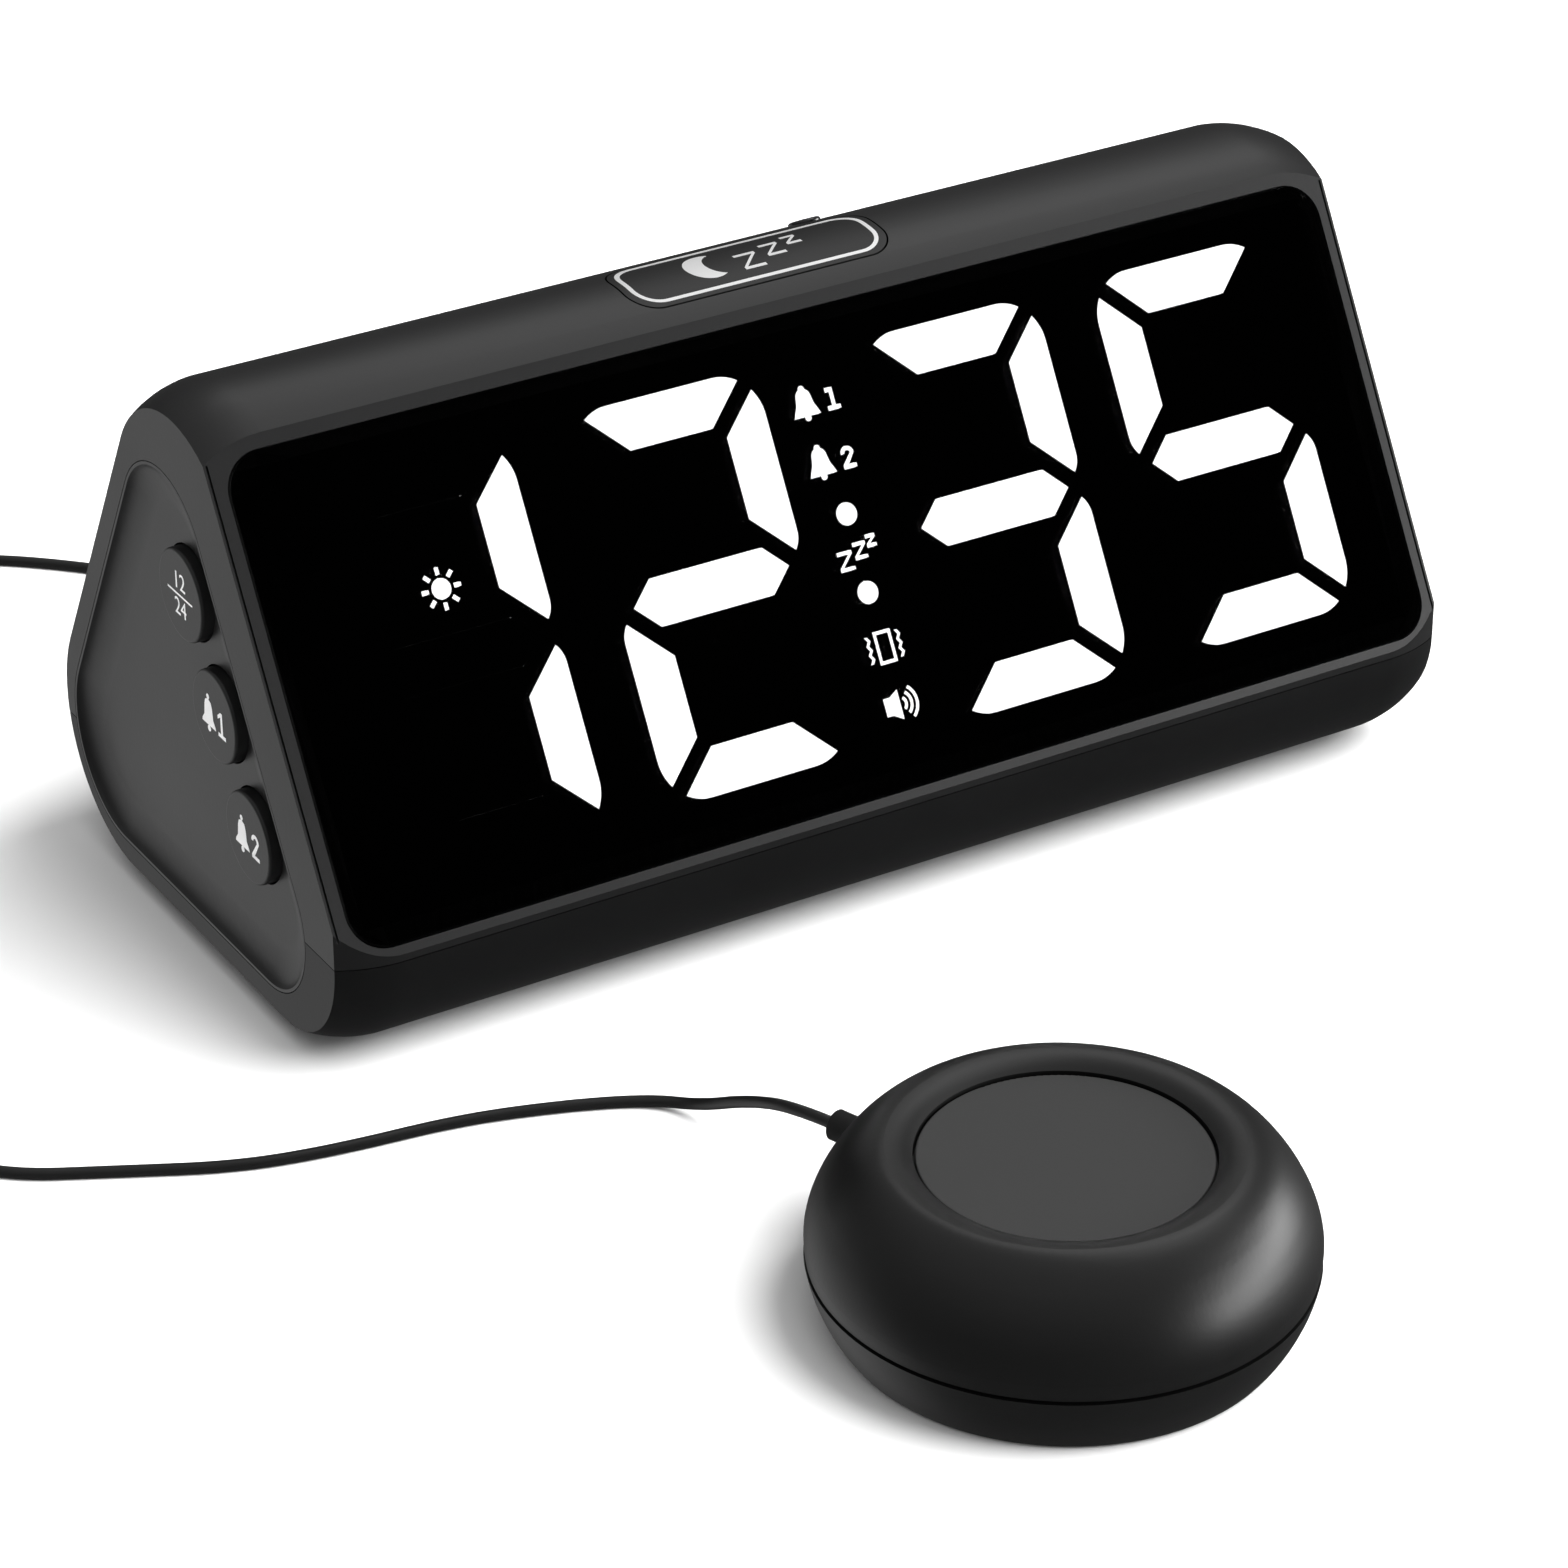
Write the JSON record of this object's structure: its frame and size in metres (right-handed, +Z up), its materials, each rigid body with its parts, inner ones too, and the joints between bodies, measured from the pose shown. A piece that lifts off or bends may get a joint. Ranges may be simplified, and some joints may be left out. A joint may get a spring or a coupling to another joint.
{
  "type": "bed shaker alarm clock",
  "caption": "Three-sided desk clock with a wide digital face, side keys and a snooze bar, joined by a thin cord to a round vibrating shaker puck.",
  "frame": {"origin": "on the table, at the middle of the box round the clock and its shaker, cord left out", "axes": "-Y out of the clock's face, +X along its length to the right as its face is read, +Z up from the table"},
  "size_m": [0.2781, 0.3217, 0.0925],
  "materials": {
    "case_plastic": "matte",
    "panel_plastic": "matte",
    "shaker_plastic": "matte",
    "lens_acrylic": "gloss",
    "mask_black": "matte",
    "digit_white": "satin",
    "unlit_grey": "satin",
    "board_green": "satin",
    "board_parts": "satin",
    "screw_steel": "satin",
    "jack_metal": "satin",
    "sensor_clear": "gloss",
    "rubber_black": "matte",
    "speaker_paper": "matte",
    "cell_steel": "polished",
    "motor_steel": "satin",
    "weight_brass": "satin",
    "cord_black": "satin"
  },
  "bodies": {
    "case": {"upper_shell": "case_plastic", "base_shell": "case_plastic", "end_panel_left": "panel_plastic", "end_panel_right": "panel_plastic", "display_lens": "lens_acrylic", "display_mask": "mask_black", "indicator_icons": "digit_white", "day_mark": "digit_white", "unlit_segments": "unlit_grey", "led_board": "board_green", "display_screws": "screw_steel", "digit_hours_tens": "digit_white", "digit_hours_ones": "digit_white", "digit_minutes_tens": "digit_white", "digit_minutes_ones": "digit_white", "snooze_board": "board_green", "snooze_board_screws": "screw_steel", "light_sensor": "sensor_clear", "left_key_board": "board_green", "right_key_board": "board_green", "key_board_screws": "screw_steel", "rear_board": "board_green", "rear_board_screws": "screw_steel", "dc_inlet": "board_parts", "usb_port": "jack_metal", "shaker_jack": "board_parts", "dimmer_switch": "board_parts", "speaker": "speaker_paper", "main_board": "board_green", "main_board_screws": "screw_steel", "coin_cell": "cell_steel", "coin_cell_holder": "board_parts", "battery_door": "case_plastic", "battery_door_screw": "screw_steel", "base_screws": "screw_steel", "rubber_feet": "rubber_black", "shaker_upper_shell": "shaker_plastic", "shaker_base_shell": "shaker_plastic", "shaker_top_disc": "shaker_plastic", "shaker_motor": "motor_steel", "motor_bracket": "screw_steel", "motor_bracket_screws": "screw_steel", "shaker_screws": "screw_steel", "shaker_foot_ring": "rubber_black", "shaker_strain_relief": "rubber_black", "cord_plug": "cord_black", "cord_shaker_run": "cord_black", "cord_clock_run": "cord_black", "cord_coil": "cord_black"},
    "snooze": {"snooze_bar": "case_plastic"},
    "set_button": {"set_key": "case_plastic"},
    "alarm_1_button": {"alarm_1_key": "case_plastic"},
    "alarm_2_button": {"alarm_2_key": "case_plastic"},
    "up_button": {"up_key": "case_plastic"},
    "down_button": {"down_key": "case_plastic"},
    "mode_button": {"mode_key": "case_plastic"},
    "dimmer": {"dimmer_knob": "case_plastic"},
    "weight": {"motor_shaft": "motor_steel", "eccentric_weight": "weight_brass"}
  },
  "joints": [
    {"name": "snooze_press", "type": "slide", "parent": "case", "child": "snooze", "axis": [0, 0.0454, -0.999], "range_m": [0, 0.0008], "stiffness_N_per_m": 900},
    {"name": "set_press", "type": "slide", "parent": "case", "child": "set_button", "axis": [1, 0, 0], "range_m": [0, 0.0008], "stiffness_N_per_m": 900},
    {"name": "alarm_1_press", "type": "slide", "parent": "case", "child": "alarm_1_button", "axis": [1, 0, 0], "range_m": [0, 0.0008], "stiffness_N_per_m": 900},
    {"name": "alarm_2_press", "type": "slide", "parent": "case", "child": "alarm_2_button", "axis": [1, 0, 0], "range_m": [0, 0.0008], "stiffness_N_per_m": 900},
    {"name": "up_press", "type": "slide", "parent": "case", "child": "up_button", "axis": [-1, 0, 0], "range_m": [0, 0.0008], "stiffness_N_per_m": 900},
    {"name": "down_press", "type": "slide", "parent": "case", "child": "down_button", "axis": [-1, 0, 0], "range_m": [0, 0.0008], "stiffness_N_per_m": 900},
    {"name": "mode_press", "type": "slide", "parent": "case", "child": "mode_button", "axis": [-1, 0, 0], "range_m": [0, 0.0008], "stiffness_N_per_m": 900},
    {"name": "dimmer_slide", "type": "slide", "parent": "case", "child": "dimmer", "axis": [1, 0, 0], "range_m": [-0.002, 0.002]},
    {"name": "weight_spin", "type": "hinge", "parent": "case", "child": "weight", "pos_m": [-0.0389, -0.07905, 0.016], "axis": [0, 0, 1], "continuous": true}
  ]
}
